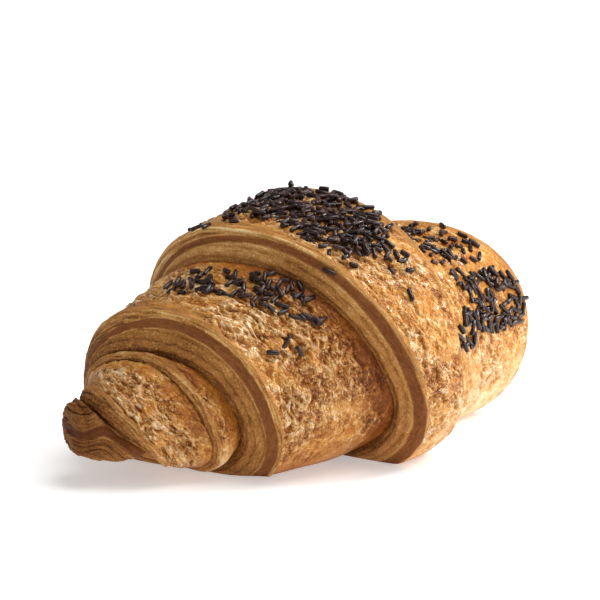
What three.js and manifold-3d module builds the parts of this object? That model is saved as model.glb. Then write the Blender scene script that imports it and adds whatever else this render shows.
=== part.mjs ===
// A chocolate croissant: one baked piece of rolled, laminated dough with chocolate
// sprinkles stuck on its crust. Millimetres, +Z up, left tip towards -X, the convex
// side towards -Y. The origin is the middle of its footprint, on the table.
//
// The dough is a curved roll. A point on it has a place along the curved axis, an angle
// round it and a radius. The angle is 0 on the convex side, 90 on top, 180 on the
// concave side and 270 underneath. The wraps overlap like roof tiles, and each one ends
// in a cut face, where the layers of the dough show as ridges.
import * as THREE from 'three';
import { mergeVertices } from 'three/addons/utils/BufferGeometryUtils.js';
import Module from 'manifold-3d';

const wasm = await Module();
wasm.setup();

// ---- Driving sizes ---------------------------------------------------------------
const LEFT_ARM = 68.4; // length of the axis from the middle to each tip
const RIGHT_ARM = 68;
const LEFT_BEND = 17.5; // how far each arm of the crescent turns, in degrees
const RIGHT_BEND = 61;
const UNDERSIDE = 0.85; // the half below the axis is flatter than the half above it
const CONCAVE_SIDE = 0.88; // the half behind the axis is narrower than the half before it
const SQUARENESS = 2.25; // exponent of the section, where 2 is a plain ellipse
const TRAY_BLEND = 1.2; // radius of the bend where the side meets the flat underside
const CRUST_BULGE = 0.6; // how far each wrap is crowned between its ends
const FACE_RUN = 0.4; // a cut face leans out by this share of its height
const LUMP = 0.35; // unevenness of the crust
const COLUMNS = 44; // facets round the section
const MIN_STEP = 0.35; // least distance along the axis between two rows

// The axis height above the tray, and the half width for a radius of 1, along the roll.
const STATIONS = [
  { along: -71, height: 13.4, width: 1.06 },
  { along: -60, height: 12.4, width: 1.05 },
  { along: -47, height: 14.0, width: 0.99 },
  { along: -14, height: 21.4, width: 1.1 },
  { along: 8, height: 25.6, width: 1.22 },
  { along: 26, height: 19.2, width: 1.08 },
  { along: 44, height: 17.9, width: 1.19 },
  { along: 73, height: 16.2, width: 1.05 },
];

// Relief of a cut face from its foot (share 0) to its crust (share 1): flaky layers
// stand out and the softer dough between them sits back, in millimetres.
const LAYERS = [
  { share: 0.0, proud: 0 },
  { share: 0.26, proud: 0.3 },
  { share: 0.38, proud: -0.5 },
  { share: 0.6, proud: 0.35 },
  { share: 0.82, proud: 0.2 },
  { share: 0.9, proud: -0.5 },
  { share: 1.0, proud: 0 },
];
const THIN_LAYERS = [
  { share: 0.0, proud: 0 },
  { share: 0.5, proud: -0.2 },
  { share: 1.0, proud: 0 },
];

// The ends of the wraps, from the left tip to the right. place is where the crust ends
// along the axis, slant how far that shifts round the roll, and turn the angle at which
// it lies furthest towards the left tip. foot and crust are the radii below and above
// the cut face, swell makes the wrap fuller at the angle full, and rows is the number of
// facets along the crust that leads to it.
const WRAPS = [
  { place: -55.8, slant: 9.2, turn: 87, foot: 6.3, crust: 11, swell: -2.5, full: 150, rows: 2 },
  { place: -46.7, slant: 7.9, turn: 124, foot: 15.7, crust: 17.4, swell: -2, full: 150, rows: 2 },
  { place: -42.8, slant: 12.4, turn: 149, foot: 17.1, crust: 26.8, swell: -1.8, full: 150, rows: 1 },
  { place: -15.3, slant: 14.4, turn: 136, foot: 30.4, crust: 37.4, swell: 0.3, full: 150, rows: 4 },
  { place: 8.8, slant: 4.6, turn: 38, foot: 26.2, crust: 36, swell: -1.5, full: 30, rows: 4 },
  { place: 36.5, slant: -3.3, turn: 62, foot: 18, crust: 27.5, swell: 3.6, full: 30, rows: 4 },
  { place: 48.5, slant: -5, turn: 45, foot: 15, crust: 17.2, swell: 1, full: 30, rows: 1 },
  { place: 58, slant: -5, turn: 70, foot: 7, crust: 11, swell: 0, full: 30, rows: 2 },
].map((wrap, i) => ({ ...wrap, side: i < 4 ? -1 : 1, thin: [0, 1, 6, 7].includes(i) }));
const LAST_LEFT_WRAP = 3; // the crown's left end, which covers all the others to its left

// The rolled end of each tip: rings from the middle to the rim, with the depth to which
// each lies behind the outermost layer.
const TIP_RADIUS = 6.4;
const TIP_ROWS = 2;
const TIP_RINGS = [
  { share: 0.3, depth: 0.4 },
  { share: 0.5, depth: 1.3 },
  { share: 0.72, depth: 0.2 },
  { share: 0.9, depth: 0 },
];

// ---- Sprinkles -------------------------------------------------------------------
const SPRINKLE = { length: 3.3, spread: 0.7, thickness: 1.3, sunk: 0.25, sides: 6 };
const SEED = 20411;
const DRAWS_PER_PLACE = 60; // how often a free place is looked for before giving up
// Where sprinkles lie, the fullest patch first. A patch is a band from one place along
// the axis to another, round the angle at its middle place, which shifts by lean degrees
// for each millimetre along; half is the band's half width in degrees, count the number
// of sprinkles and gap the least distance between two middles.
const PATCHES = {
  crownTop: { from: -18, to: 5, angle: 84, lean: 0, half: 34, count: 70, gap: 2.7 },
  rightWrapSide: { from: 19.5, to: 38, angle: 23, lean: 0, half: 12, count: 26, gap: 2.5 },
  leftWrapBand: { from: -40, to: -20, angle: 73, lean: -3, half: 12, count: 24, gap: 2.5 },
  rightWrapTop: { from: 15, to: 37, angle: 56, lean: 0.9, half: 18, count: 20, gap: 3 },
  rightWrapEnd: { from: 13.5, to: 19, angle: 12, lean: 0, half: 11, count: 6, gap: 2.5 },
  crownEdge: { from: -26, to: -18, angle: 103, lean: 1, half: 8, count: 6, gap: 2.8 },
  crownSide: { from: -14, to: 4, angle: 45, lean: 0, half: 6, count: 7, gap: 3 },
  crownBack: { from: -16, to: 5, angle: 132, lean: 0, half: 14, count: 9, gap: 3.2 },
  rightWrapBack: { from: 18, to: 36, angle: 100, lean: 0, half: 22, count: 9, gap: 3.4 },
  leftWrapSide: { from: -34, to: -18, angle: 36, lean: -1, half: 8, count: 5, gap: 3.6 },
};

const radians = THREE.MathUtils.degToRad;
const { lerp, clamp } = THREE.MathUtils;

/** A smooth curve through the stations that never overshoots them. */
function throughStations(key) {
  const x = STATIONS.map((station) => station.along);
  const y = STATIONS.map((station) => station[key]);
  const last = x.length - 1;
  const gap = x.slice(1).map((value, i) => value - x[i]);
  const rise = gap.map((width, i) => (y[i + 1] - y[i]) / width);
  const slope = y.map((_, i) => {
    if (i === 0) return rise[0];
    if (i === last) return rise[last - 1];
    if (rise[i - 1] * rise[i] <= 0) return 0;
    const before = gap[i - 1] + 2 * gap[i];
    const after = 2 * gap[i - 1] + gap[i];
    return (before + after) / (after / rise[i - 1] + before / rise[i]);
  });
  return (along) => {
    const place = clamp(along, x[0], x[last]);
    let i = 0;
    while (i < last - 1 && place > x[i + 1]) i += 1;
    const t = (place - x[i]) / gap[i];
    const fromStart = (1 + 2 * t) * (1 - t) ** 2 * y[i] + t * (1 - t) ** 2 * gap[i] * slope[i];
    const fromEnd = t * t * (3 - 2 * t) * y[i + 1] + t * t * (t - 1) * gap[i] * slope[i + 1];
    return fromStart + fromEnd;
  };
}

const heightAt = throughStations('height');
const widthAt = throughStations('width');

/** Lifts what would lie below the tray, with a soft bend into the flat underside. */
function ontoTray(height) {
  if (height >= TRAY_BLEND) return height;
  if (height <= -TRAY_BLEND) return 0;
  return (height + TRAY_BLEND) ** 2 / (4 * TRAY_BLEND);
}

/** The point of the roll at a place along the axis, a radius and an angle. */
function rollPoint(along, radius, angle) {
  const [arm, bend] = along < 0 ? [LEFT_ARM, LEFT_BEND] : [RIGHT_ARM, RIGHT_BEND];
  const curvature = radians(bend) / arm;
  const turned = curvature * along;
  const across = Math.cos(angle);
  const up = Math.sin(angle);
  const reach = (Math.abs(across) ** SQUARENESS + Math.abs(up) ** SQUARENESS) ** (-1 / SQUARENESS);
  const outward = radius * widthAt(along) * across * reach * (across < 0 ? CONCAVE_SIDE : 1);
  const upward = radius * up * reach * (up < 0 ? UNDERSIDE : 1);
  return new THREE.Vector3(
    Math.sin(turned) / curvature + Math.sin(turned) * outward,
    (1 - Math.cos(turned)) / curvature - Math.cos(turned) * outward,
    ontoTray(heightAt(along) + upward),
  );
}

/** The slow swells of hand-rolled dough, between about -1 and 1. */
function lump(along, angle) {
  const round = Math.sin(3 * angle + 0.09 * along) * Math.sin(0.16 * along + 1.3);
  const lengthwise = Math.sin(0.31 * along + 2 * Math.sin(angle + 0.6));
  return 0.6 * round + 0.4 * lengthwise;
}

/**
 * The wraps' ends at one angle: where the crust's edge lies, how far the cut face leans
 * out, and its two radii. A wrap nearer to the crown covers the one beyond it, whose
 * edge then stays clear of the covering foot.
 */
function settledWraps(angle) {
  const wraps = WRAPS.map((wrap) => {
    const fullness = wrap.swell * Math.cos(angle - radians(wrap.full));
    const crust = wrap.crust + fullness;
    const foot = wrap.foot + fullness / 2;
    const edge = wrap.place - wrap.slant * Math.cos(angle - radians(wrap.turn));
    return { ...wrap, crust, foot, lean: FACE_RUN * (crust - foot), edge };
  });
  const outwards = (wrap, cover) => {
    const clear = cover.edge + cover.side * (cover.lean + MIN_STEP * cover.rows);
    wrap.edge = wrap.side < 0 ? Math.min(wrap.edge, clear) : Math.max(wrap.edge, clear);
  };
  for (let i = LAST_LEFT_WRAP; i > 0; i -= 1) outwards(wraps[i - 1], wraps[i]);
  for (let i = LAST_LEFT_WRAP + 2; i < wraps.length; i += 1) outwards(wraps[i], wraps[i - 1]);
  return wraps;
}

/**
 * The outline of the roll at one angle, from tip to tip: rows of a place along the axis
 * and a radius. Every angle has the same number of rows.
 */
function profileAt(angle) {
  const rows = [];
  const endRing = (tip, side) => (ring) => {
    rows.push({ along: tip - side * ring.depth, radius: TIP_RADIUS * ring.share });
  };
  const crustTo = (place, radius, count) => {
    const start = rows[rows.length - 1];
    for (let i = 1; i <= count; i += 1) {
      const t = i / count;
      const inside = 4 * t * (1 - t);
      const along = lerp(start.along, place, t);
      const swell = inside * (CRUST_BULGE + LUMP * lump(along, angle));
      rows.push({ along, radius: lerp(start.radius, radius, t) + swell });
    }
  };

  TIP_RINGS.forEach(endRing(-LEFT_ARM, -1));
  rows.push({ along: -LEFT_ARM + MIN_STEP, radius: TIP_RADIUS });
  settledWraps(angle).forEach(({ edge, lean, foot, crust, side, thin, rows: count }) => {
    const face = (thin ? THIN_LAYERS : LAYERS).map(({ share, proud }) => ({
      along: edge + side * (lean * (1 - share ** 1.5) + proud),
      radius: lerp(foot, crust, share),
    }));
    if (side > 0) face.reverse();
    crustTo(face[0].along, face[0].radius, count);
    rows.push(...face.slice(1));
  });
  crustTo(RIGHT_ARM - MIN_STEP, TIP_RADIUS, TIP_ROWS);
  [...TIP_RINGS].reverse().forEach(endRing(RIGHT_ARM, 1));
  return rows;
}

/** The radius of the crust at a place along the axis and an angle. */
function crustRadius(along, angle) {
  const rows = profileAt(angle);
  const next = Math.max(1, rows.findIndex((row) => row.along > along));
  const [low, high] = [rows[next - 1], rows[next]];
  const share = clamp((along - low.along) / (high.along - low.along), 0, 1);
  return lerp(low.radius, high.radius, share);
}

/** The closed skin of the dough: the profile carried round the axis, with two poles. */
function doughGeometry() {
  const profiles = Array.from({ length: COLUMNS }, (_, column) => {
    const angle = (2 * Math.PI * column) / COLUMNS;
    return profileAt(angle).map((row) => rollPoint(row.along, row.radius, angle));
  });
  const rowCount = profiles[0].length;
  const first = rollPoint(-LEFT_ARM + TIP_RINGS[0].depth, 0, 0);
  const last = rollPoint(RIGHT_ARM - TIP_RINGS[0].depth, 0, 0);
  const positions = [...profiles.flat(), first, last].flatMap((point) => point.toArray());
  const at = (column, row) => (column % COLUMNS) * rowCount + row;
  const leftPole = COLUMNS * rowCount;
  const rightPole = leftPole + 1;
  const faces = [];
  for (let column = 0; column < COLUMNS; column += 1) {
    faces.push(leftPole, at(column, 0), at(column + 1, 0));
    faces.push(rightPole, at(column + 1, rowCount - 1), at(column, rowCount - 1));
    for (let row = 0; row < rowCount - 1; row += 1) {
      const here = at(column, row);
      const along = at(column, row + 1);
      const round = at(column + 1, row);
      const across = at(column + 1, row + 1);
      faces.push(here, along, round, round, along, across);
    }
  }
  const geometry = new THREE.BufferGeometry();
  geometry.setAttribute('position', new THREE.Float32BufferAttribute(positions, 3));
  geometry.setIndex(faces);
  return geometry;
}

/** A closed geometry as a solid that can be joined. */
function solidOf(geometry) {
  const bare = geometry.clone();
  bare.deleteAttribute('normal');
  bare.deleteAttribute('uv');
  const merged = mergeVertices(bare, 1e-5);
  return new wasm.Manifold(new wasm.Mesh({
    numProp: 3,
    vertProperties: new Float32Array(merged.attributes.position.array),
    triVerts: new Uint32Array(merged.index.array),
  }));
}

/** A joined solid as a geometry with flat faces. */
function geometryOf(solid) {
  const mesh = solid.getMesh();
  const geometry = new THREE.BufferGeometry();
  geometry.setAttribute('position', new THREE.BufferAttribute(mesh.vertProperties, 3));
  geometry.setIndex(new THREE.BufferAttribute(mesh.triVerts, 1));
  geometry.computeVertexNormals();
  return geometry;
}

/** Random numbers between 0 and 1 that are the same on every run. */
function seededRandom(seed) {
  let state = seed;
  return () => {
    state = (state * 1664525 + 1013904223) % 4294967296;
    return state / 4294967296;
  };
}

/** The crust's point at a place and an angle, with its outward normal. */
function crustFrame(along, angle) {
  const step = 0.4;
  const turn = 0.02;
  const pointAt = (s, a) => rollPoint(s, crustRadius(s, a), a);
  const forward = pointAt(along + step, angle).sub(pointAt(along - step, angle));
  const round = pointAt(along, angle + turn).sub(pointAt(along, angle - turn));
  return { point: pointAt(along, angle), normal: forward.cross(round).negate().normalize() };
}

/** One sprinkle: a short hexagonal rod lying on the crust at a random heading. */
function sprinkleGeometry({ point, normal }, random) {
  const { length, spread, thickness, sunk, sides } = SPRINKLE;
  const rod = length + spread * (2 * random() - 1);
  const geometry = new THREE.CylinderGeometry(thickness / 2, thickness / 2, rod, sides);
  const heading = new THREE.Vector3(random() - 0.5, random() - 0.5, random() - 0.5);
  const lying = heading.cross(normal).normalize();
  geometry.applyQuaternion(
    new THREE.Quaternion().setFromUnitVectors(new THREE.Vector3(0, 1, 0), lying),
  );
  const centre = point.clone().addScaledVector(normal, thickness / 2 - sunk);
  return geometry.translate(...centre.toArray());
}

/** Free places in a patch, drawn at random and kept apart from those already taken. */
function scatterPatch(patch, taken, random) {
  const middle = (patch.from + patch.to) / 2;
  const placed = [];
  for (let draw = 0; draw < patch.count * DRAWS_PER_PLACE; draw += 1) {
    const along = lerp(patch.from, patch.to, random());
    const offset = patch.half * (2 * random() - 1);
    const angle = radians(patch.angle + patch.lean * (along - middle) + offset);
    const frame = crustFrame(along, angle);
    const free = taken.every((other) => other.distanceTo(frame.point) > patch.gap);
    if (free && placed.length < patch.count) {
      taken.push(frame.point);
      placed.push(frame);
    }
  }
  return placed;
}

/** All sprinkles as closed geometries. */
function sprinkleGeometries() {
  const random = seededRandom(SEED);
  const taken = [];
  const frames = Object.values(PATCHES).flatMap((patch) => scatterPatch(patch, taken, random));
  return frames.map((frame) => sprinkleGeometry(frame, random));
}

/** The croissant with its sprinkles fused on, as its one largest body. */
function croissantGeometry() {
  const dough = solidOf(doughGeometry());
  const sprinkled = wasm.Manifold.union([dough, ...sprinkleGeometries().map(solidOf)]);
  const bodies = sprinkled.decompose().sort((a, b) => b.volume() - a.volume());
  return geometryOf(bodies[0]);
}

const crust = new THREE.MeshStandardMaterial({ color: 0xc88b47, roughness: 0.5, metalness: 0 });
crust.name = 'baked_crust';

const geometry = croissantGeometry();
geometry.computeBoundingBox();
const { min, max } = geometry.boundingBox;
geometry.translate(-(min.x + max.x) / 2, -(min.y + max.y) / 2, -min.z);

const croissant = new THREE.Mesh(geometry, crust);
croissant.name = 'croissant';

const group = new THREE.Group();
group.add(croissant);

export default group;
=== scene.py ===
"""A chocolate croissant: the look of its wraps, layered cut faces and sprinkles.

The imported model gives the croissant's size and place. Everything here is modelled in
millimetres on the same curved roll as the solid, and then laid into the solid's box.
A place on the roll is a length along its axis, an angle round it and a radius. The angle
is 0 on the convex side, a quarter turn on top and a half turn on the concave side.
"""

import logging
import math
from collections.abc import Sequence
from dataclasses import dataclass, field
from enum import Enum

import bmesh
import bpy
import numpy as np
from mathutils import Matrix, Vector


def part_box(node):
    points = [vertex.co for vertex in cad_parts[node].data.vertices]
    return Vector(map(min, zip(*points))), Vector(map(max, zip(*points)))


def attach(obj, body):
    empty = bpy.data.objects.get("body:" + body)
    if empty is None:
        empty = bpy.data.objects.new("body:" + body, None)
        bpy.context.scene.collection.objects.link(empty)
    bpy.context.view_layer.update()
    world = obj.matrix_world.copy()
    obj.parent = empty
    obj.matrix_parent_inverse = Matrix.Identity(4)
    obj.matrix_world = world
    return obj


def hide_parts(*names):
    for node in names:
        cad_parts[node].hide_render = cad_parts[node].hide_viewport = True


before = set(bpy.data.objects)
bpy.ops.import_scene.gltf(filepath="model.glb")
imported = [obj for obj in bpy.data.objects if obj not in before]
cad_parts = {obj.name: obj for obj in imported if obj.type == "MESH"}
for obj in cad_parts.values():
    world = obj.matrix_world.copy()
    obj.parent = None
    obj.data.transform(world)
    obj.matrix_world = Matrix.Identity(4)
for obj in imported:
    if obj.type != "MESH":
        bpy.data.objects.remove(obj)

Array = np.ndarray
Colour = tuple[float, float, float]
Inputs = dict[str | int, object]
Size = float | tuple[float, float, float]

log = logging.getLogger("croissant")

MILLIMETRE = 0.001
NODE = "croissant"
BODY = "root"


def smoothstep(low: float, high: float, value: Array) -> Array:
    """A soft step from 0 at low to 1 at high."""
    share = np.clip((value - low) / (high - low), 0.0, 1.0)
    return share * share * (3.0 - 2.0 * share)


def bell(value: Array, middle: float | Array, width: float) -> Array:
    """A smooth bump of height 1 round the middle."""
    return np.exp(-(((value - middle) / width) ** 2))


def turn_between(angle: Array, degrees: float) -> Array:
    """The signed angle in degrees from a direction round the roll, between -180 and 180."""
    return (np.degrees(angle) - degrees + 180.0) % 360.0 - 180.0


# ---- Shape of the roll ---------------------------------------------------------------


@dataclass(frozen=True)
class Station:
    """The axis height and the half width for a radius of 1 at one place along the roll."""

    along: float
    height: float
    width: float


@dataclass(frozen=True)
class WrapEnd:
    """Where a wrap ends: its crust edge, and the cut face between crust and foot.

    place is where the crust ends along the axis, slant how far that shifts round the
    roll, and turn the angle at which it lies furthest left. foot and crust are the radii
    below and above the cut face, and swell makes the wrap fuller at the angle full. side
    is -1 where the cut face looks left and 1 where it looks right. room is how far the
    next wrap's edge stays clear of this one's foot, and lean the run of the face for each
    millimetre of its height.
    """

    place: float
    slant: float
    turn: float
    foot: float
    crust: float
    swell: float
    full: float
    side: int
    room: float
    lean: float = 0.4


class End(Enum):
    """The ends of the wraps, from the left tip to the right."""

    LEFT_TIP = WrapEnd(-55.8, 9.2, 87, 6.3, 11.0, -2.5, 150, -1, 0.7)
    LEFT_FLAP = WrapEnd(-46.7, 7.9, 124, 15.7, 17.4, -2.0, 150, -1, 0.7)
    LEFT_WRAP = WrapEnd(-42.8, 12.4, 149, 17.1, 26.8, -1.8, 150, -1, 0.35)
    CROWN_LEFT = WrapEnd(-15.3, 14.4, 136, 30.4, 37.4, 0.3, 150, -1, 1.4)
    CROWN_RIGHT = WrapEnd(8.8, 4.6, 38, 26.2, 36.0, -1.5, 30, 1, 1.4)
    RIGHT_WRAP = WrapEnd(36.5, -3.3, 62, 18.0, 27.5, 3.6, 30, 1, 1.4)
    RIGHT_FLAP = WrapEnd(48.5, -5.0, 45, 15.0, 17.2, 1.0, 30, 1, 0.35)
    RIGHT_TIP = WrapEnd(58.0, -5.0, 70, 7.0, 11.0, 0.0, 30, 1, 0.7)


# The ends on each side of the crown's middle, from the crown outwards.
LEFTWARDS = (End.CROWN_LEFT, End.LEFT_WRAP, End.LEFT_FLAP, End.LEFT_TIP)
RIGHTWARDS = (End.CROWN_RIGHT, End.RIGHT_WRAP, End.RIGHT_FLAP, End.RIGHT_TIP)


@dataclass(frozen=True)
class EdgeLine:
    """One wrap end at every angle: its crust edge, its foot's place and both radii."""

    edge: Array
    foot_place: Array
    foot: Array
    crust: Array


@dataclass(frozen=True)
class Roll:
    """The curved roll of dough that every wrap lies on, in millimetres and degrees."""

    left_arm: float = 68.4
    right_arm: float = 68.0
    left_bend: float = 17.5
    right_bend: float = 61.0
    underside: float = 0.85
    concave_side: float = 0.88
    squareness: float = 2.25
    tray_blend: float = 1.2
    tip_radius: float = 6.4
    stations: tuple[Station, ...] = (
        Station(-71, 13.4, 1.06),
        Station(-60, 12.4, 1.05),
        Station(-47, 14.0, 0.99),
        Station(-14, 21.4, 1.10),
        Station(8, 25.6, 1.22),
        Station(26, 19.2, 1.08),
        Station(44, 17.9, 1.19),
        Station(73, 16.2, 1.05),
    )

    def arm(self, side: int) -> float:
        """The axis's length from the middle to the left end, -1, or to the right one, 1."""
        return self.left_arm if side < 0 else self.right_arm

    def _through(self, values: Sequence[float], along: Array) -> Array:
        """A smooth curve through the stations that never overshoots them.

        Args:
            values: One value for each station.
            along: The places at which the curve is read.

        Returns:
            The curve's values.
        """
        x = np.array([station.along for station in self.stations], float)
        y = np.array(values, float)
        gap = np.diff(x)
        rise = np.diff(y) / gap
        slope = np.zeros_like(y)
        slope[0], slope[-1] = rise[0], rise[-1]
        before = gap[:-1] + 2.0 * gap[1:]
        after = 2.0 * gap[:-1] + gap[1:]
        same = rise[:-1] * rise[1:] > 0.0
        low = np.where(same, rise[:-1], 1.0)
        high = np.where(same, rise[1:], 1.0)
        slope[1:-1] = np.where(same, (before + after) / (after / low + before / high), 0.0)
        place = np.clip(along, x[0], x[-1])
        i = np.clip(np.searchsorted(x, place) - 1, 0, len(gap) - 1)
        t = (place - x[i]) / gap[i]
        start = (1 + 2 * t) * (1 - t) ** 2 * y[i] + t * (1 - t) ** 2 * gap[i] * slope[i]
        end = t * t * (3 - 2 * t) * y[i + 1] + t * t * (t - 1) * gap[i] * slope[i + 1]
        return start + end

    def height(self, along: Array) -> Array:
        """The height of the axis above the tray."""
        return self._through([station.height for station in self.stations], along)

    def width(self, along: Array) -> Array:
        """The half width for a radius of 1."""
        return self._through([station.width for station in self.stations], along)

    def point(self, along: Array, radius: Array, angle: Array) -> Array:
        """The points of the roll.

        Args:
            along: Places along the axis.
            radius: Radii about the axis.
            angle: Angles round the axis.

        Returns:
            The points in space, with the coordinates in the last axis.
        """
        curvature = np.where(
            along < 0,
            math.radians(self.left_bend) / self.left_arm,
            math.radians(self.right_bend) / self.right_arm,
        )
        turned = curvature * along
        across, up = np.cos(angle), np.sin(angle)
        power = self.squareness
        reach = (np.abs(across) ** power + np.abs(up) ** power) ** (-1.0 / power)
        side = np.where(across < 0, self.concave_side, 1.0)
        outward = radius * self.width(along) * across * reach * side
        upward = radius * up * reach * np.where(up < 0, self.underside, 1.0)
        height = self.height(along) + upward
        blend = self.tray_blend
        bend = (np.clip(height, -blend, blend) + blend) ** 2 / (4.0 * blend)
        return np.stack(
            [
                np.sin(turned) / curvature + np.sin(turned) * outward,
                (1.0 - np.cos(turned)) / curvature - np.cos(turned) * outward,
                np.where(height >= blend, height, bend),
            ],
            axis=-1,
        )

    def edge_lines(self, angle: Array) -> dict[End, EdgeLine]:
        """Every wrap end round the roll.

        A wrap nearer to the crown covers the one beyond it, whose edge then stays clear of
        the covering foot.

        Args:
            angle: The angles round the axis.

        Returns:
            The line of each end.
        """
        lines = {}
        for outwards in (LEFTWARDS, RIGHTWARDS):
            clear = None
            for end in outwards:
                wrap = end.value
                fullness = wrap.swell * np.cos(angle - math.radians(wrap.full))
                foot = wrap.foot + fullness / 2.0
                crust = wrap.crust + fullness
                lean = wrap.side * wrap.lean * (crust - foot)
                edge = wrap.place - wrap.slant * np.cos(angle - math.radians(wrap.turn))
                if clear is not None:
                    edge = wrap.side * np.maximum(wrap.side * edge, wrap.side * clear)
                lines[end] = EdgeLine(edge, edge + lean, foot, crust)
                clear = edge + lean + wrap.side * wrap.room
        return lines


ROLL = Roll()


@dataclass
class WrapGrid:
    """A wrap as rows from its left pole to its right one and columns round the roll.

    cut is 1 on cut faces and raw tips. share runs from 0 at a face's foot to 1 at its
    crust, depth is how far a point lies below the crust's edge, and drop the height of
    the face. across is how far right of the wrap's left end a point lies. bare and tucked
    are the distances from a crust edge and from a neighbour that covers the wrap.
    """

    along: Array
    across: Array
    radius: Array
    angle: Array
    cut: Array
    share: Array
    depth: Array
    drop: Array
    bare: Array
    tucked: Array

    def plain_points(self) -> Array:
        """The points before any relief."""
        return ROLL.point(self.along, self.radius, self.angle)

    def straightened(self) -> Array:
        """The points on the roll without its bend and without the slant of its wraps."""
        return np.stack(
            [self.across, self.radius * np.cos(self.angle), self.radius * np.sin(self.angle)],
            axis=-1,
        )


# ---- Unevenness ----------------------------------------------------------------------

LATTICE = 256  # Cells of the noise before it repeats.
NOISE_GAIN = 1.6  # Brings the noise to about 1 at its highest.
RIDGE_SHARPNESS = 2.4
HASH_STEP = 127.1
HASH_SEED = 31.17
HASH_GAIN = 43758.5453


class DoughNoise:
    """Seeded gradient noise in space, roughly between -1 and 1."""

    def __init__(self, seed: int) -> None:
        """Draws the lattice of one seed."""
        rng = np.random.default_rng(seed)
        self.order = np.concatenate([rng.permutation(LATTICE)] * 3)
        arrows = rng.normal(size=(LATTICE, 3))
        self.arrows = arrows / np.linalg.norm(arrows, axis=1, keepdims=True)

    def __call__(self, points: Array, size: Size) -> Array:
        """The noise at some points.

        Args:
            points: Points with their coordinates in the last axis.
            size: The size of a feature, or one size for each coordinate.

        Returns:
            One value for each point.
        """
        place = points / np.asarray(size, float)
        cell = np.floor(place).astype(np.int64)
        inside = place - cell
        fade = inside**3 * (inside * (inside * 6.0 - 15.0) + 10.0)
        total = np.zeros(points.shape[:-1])
        for corner in np.ndindex(2, 2, 2):
            offset = np.array(corner)
            at = (cell + offset) % LATTICE
            pick = self.order[self.order[self.order[at[..., 0]] + at[..., 1]] + at[..., 2]]
            push = np.einsum("...i,...i->...", self.arrows[pick], inside - offset)
            weight = np.prod(np.where(offset, fade, 1.0 - fade), axis=-1)
            total += push * weight
        return NOISE_GAIN * total

    def ridges(self, points: Array, size: Size) -> Array:
        """Sharp crests between 0 and 1, as in wrinkled skin."""
        return np.clip(1.0 - RIDGE_SHARPNESS * np.abs(self(points, size)), 0.0, 1.0)


def slow_lumps(along: Array, angle: Array) -> Array:
    """The slow swells of hand-rolled dough, between about -1 and 1."""
    lobes, twist, beat, pitch = 3, 0.09, 0.16, 0.31
    around = np.sin(lobes * angle + twist * along) * np.sin(beat * along + 1.3)
    lengthwise = np.sin(pitch * along + 2 * np.sin(angle + 0.6))
    return 0.6 * around + 0.4 * lengthwise


def ribbon_chance(ribbon: Array, seed: int) -> Array:
    """A fixed random number between 0 and 1 for each whole ribbon number."""
    mixed = np.sin(ribbon * HASH_STEP + seed * HASH_SEED) * HASH_GAIN
    return mixed - np.floor(mixed)


@dataclass
class Bake:
    """What the oven did to each point of a wrap, for its relief and its colours.

    relief is how far the point stands out, in millimetres. toast runs from 0, pale, to 1,
    burnt; it also carries painted highlight on crests and bare edges, and painted shade in
    furrows, beside covering wraps and low on some wraps. tone runs from 0, a dark crease
    between two layers, to 1, a pale flake, and carries painted light on the top of the
    crown's face and painted shade at a face's foot. band is 1 on the cocoa layer, and
    crinkle 1 where the skin is crumpled. raw is 1 where layered dough shows instead of
    crust, and strata the depth into its layers in millimetres.
    """

    relief: Array
    toast: Array
    tone: Array
    band: Array
    crinkle: Array
    raw: Array
    strata: Array


SEEDS_PER_WRAP = 20  # Seeds kept for the noises of one wrap.
CRUST_NOISES = 7  # The first of them, for its crust.
FACE_NOISES = 6  # The next ones, for its cut faces.
EDGE_SEED = 15  # The one for its frayed edge.
RAGGED_SEED = 16  # The one for the outlines of its blisters.


@dataclass(frozen=True)
class Wrinkles:
    """One kind of crest in the crust, in millimetres.

    level is the mean of the crests, which keeps the crust's own height, and sharpness how
    narrow they are.
    """

    height: float
    size: Size
    level: float
    sharpness: float = 1.0

    def relief(self, noise: DoughNoise, place: Array) -> Array:
        """How far the crests stand out at some places."""
        return self.height * (noise.ridges(place, self.size) ** self.sharpness - self.level)


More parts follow.
